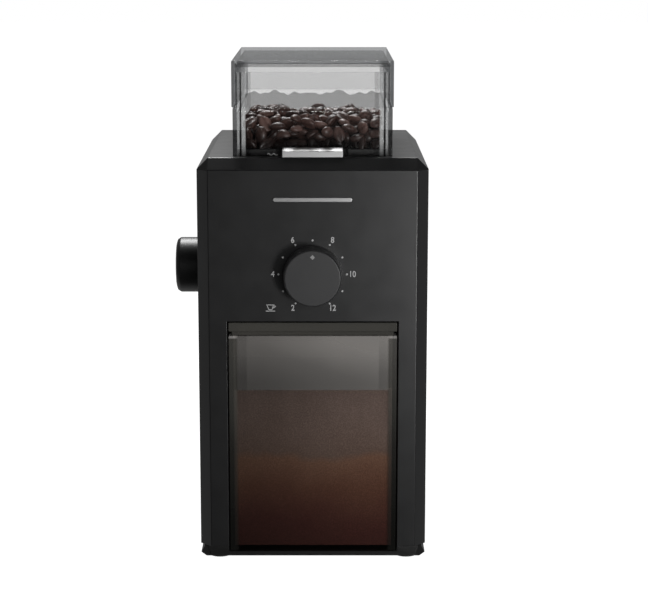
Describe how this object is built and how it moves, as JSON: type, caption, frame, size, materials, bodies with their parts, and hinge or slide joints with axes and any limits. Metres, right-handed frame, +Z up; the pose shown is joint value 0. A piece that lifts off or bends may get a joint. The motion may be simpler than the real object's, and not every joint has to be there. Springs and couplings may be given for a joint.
{
  "type": "burr coffee grinder",
  "caption": "Free-standing electric burr grinder with a clear bean hopper on top, a front quantity dial, a side fineness knob and a pull-out container for ground coffee.",
  "frame": {"origin": "centre of the body's footprint, on the table; the base plate's underside is 0.5 mm above it, on four rubber feet", "axes": "+Z up; the dial and the coffee container face -Y; +X is to the right seen from the front, so the fineness knob is on the -X side"},
  "size_m": [0.1327, 0.1658, 0.2595],
  "materials": {
    "moulded_black": "black moulded plastic, satin",
    "knob_black": "black moulded plastic, fine matt texture",
    "foot_rubber": "black rubber",
    "smoked_clear": "smoked translucent plastic, polished",
    "hopper_clear": "clear plastic, slightly smoked, polished",
    "lid_smoke": "lightly smoked clear plastic, polished",
    "button_silver": "silver painted plastic, satin",
    "switch_plastic": "dark phenolic plastic",
    "spring_steel": "drawn steel wire",
    "screw_steel": "zinc plated steel",
    "shaft_steel": "ground steel",
    "burr_steel": "hardened steel",
    "bush_brass": "sintered bronze",
    "board_green": "printed circuit board",
    "component_body": "component cases",
    "terminal_nylon": "natural nylon",
    "frame_plastic": "dark glass filled plastic",
    "gear_nylon": "natural acetal",
    "lamination_steel": "varnished steel laminations",
    "winding_copper": "enamelled copper",
    "brush_carbon": "carbon"
  },
  "bodies": {
    "casing": {"base_plate": "moulded_black", "rubber_feet": "foot_rubber", "front_panel": "moulded_black", "left_side_panel": "moulded_black", "right_side_panel": "moulded_black", "rear_cover": "moulded_black", "rear_cover_screws": "screw_steel", "top_cover": "moulded_black", "cord_gland": "foot_rubber", "container_bay": "moulded_black", "container_switch": "switch_plastic", "bean_container": "hopper_clear", "hopper_funnel": "moulded_black", "start_switch": "switch_plastic", "button_spring": "spring_steel", "dial_timer": "switch_plastic", "control_board": "board_green", "board_components": "component_body", "terminal_block": "terminal_nylon", "gearbox_base": "frame_plastic", "gearbox_cover": "frame_plastic", "gearbox_screws": "screw_steel", "spindle_bushes": "bush_brass", "idler_pin": "shaft_steel", "burr_chamber": "frame_plastic", "coffee_chute": "moulded_black", "adjuster_bracket": "frame_plastic", "stator_core": "lamination_steel", "stator_windings": "winding_copper", "motor_lower_bracket": "frame_plastic", "motor_upper_bracket": "frame_plastic", "motor_bolts": "screw_steel", "carbon_brushes": "brush_carbon", "brush_holders": "bush_brass", "board_screws": "screw_steel"},
    "hopper_lid": {"hopper_lid": "lid_smoke"},
    "container": {"ground_container": "smoked_clear", "container_lid": "smoked_clear"},
    "quantity_dial": {"quantity_dial": "knob_black", "dial_shaft": "switch_plastic"},
    "fineness_knob": {"fineness_knob": "knob_black", "fineness_shaft": "switch_plastic", "fineness_pinion": "gear_nylon"},
    "adjuster_rack": {"adjuster_rack": "gear_nylon"},
    "adjusting_ring": {"adjusting_ring": "gear_nylon"},
    "upper_burr": {"upper_burr_carrier": "gear_nylon", "upper_burr": "burr_steel", "carrier_pins": "shaft_steel"},
    "start_button": {"start_button": "button_silver"},
    "rotor": {"rotor_core": "lamination_steel", "commutator": "winding_copper", "motor_shaft": "shaft_steel", "cooling_fan": "gear_nylon", "motor_pinion": "shaft_steel"},
    "idler": {"idler_gear": "gear_nylon"},
    "spindle": {"grinder_spindle": "shaft_steel", "spindle_gear": "gear_nylon", "lower_burr": "burr_steel", "lower_burr_carrier": "gear_nylon", "bean_feeder": "gear_nylon"}
  },
  "joints": [
    {"name": "hopper_lid_lift", "type": "slide", "parent": "casing", "child": "hopper_lid", "axis": [0, 0, 1], "range_m": [0, 0.06]},
    {"name": "container_pull", "type": "slide", "parent": "casing", "child": "container", "axis": [0, -1, 0], "range_m": [0, 0.09]},
    {"name": "quantity_turn", "type": "hinge", "parent": "casing", "child": "quantity_dial", "pos_m": [0, -0.08, 0.1519], "axis": [0, 1, 0], "range_deg": [-150, 150]},
    {"name": "fineness_turn", "type": "hinge", "parent": "casing", "child": "fineness_knob", "pos_m": [-0.06, -0.018, 0.1472], "axis": [1, 0, 0], "range_deg": [-150, 150]},
    {"name": "rack_slide", "type": "slide", "parent": "casing", "child": "adjuster_rack", "axis": [0, 1, 0], "range_m": [-0.0106, 0.0106]},
    {"name": "ring_turn", "type": "hinge", "parent": "casing", "child": "adjusting_ring", "pos_m": [0, 0.002, 0.1725], "axis": [0, 0, 1], "range_deg": [-13.2, 13.2]},
    {"name": "burr_lift", "type": "slide", "parent": "casing", "child": "upper_burr", "axis": [0, 0, 1], "range_m": [-0.00051, 0.00051]},
    {"name": "start_press", "type": "slide", "parent": "casing", "child": "start_button", "axis": [0, 0, -1], "range_m": [0, 0.002], "stiffness_N_per_m": 500, "springref_m": -0.001, "deforming": ["button_spring"]},
    {"name": "rotor_spin", "type": "hinge", "parent": "casing", "child": "rotor", "pos_m": [0, 0.043, 0.1], "axis": [0, 0, 1], "continuous": true},
    {"name": "idler_spin", "type": "hinge", "parent": "casing", "child": "idler", "pos_m": [0.01406, 0.02505, 0.1375], "axis": [0, 0, 1], "continuous": true},
    {"name": "spindle_spin", "type": "hinge", "parent": "casing", "child": "spindle", "pos_m": [0, 0.002, 0.1425], "axis": [0, 0, 1], "continuous": true}
  ],
  "couplings": [
    {"joint": "rack_slide", "follows": "fineness_turn", "m_per_rad": -0.004},
    {"joint": "ring_turn", "follows": "fineness_turn", "ratio": 0.086869},
    {"joint": "burr_lift", "follows": "fineness_turn", "m_per_rad": 0.00019099},
    {"joint": "idler_spin", "follows": "rotor_spin", "ratio": -0.26667},
    {"joint": "spindle_spin", "follows": "rotor_spin", "ratio": 0.07619}
  ]
}
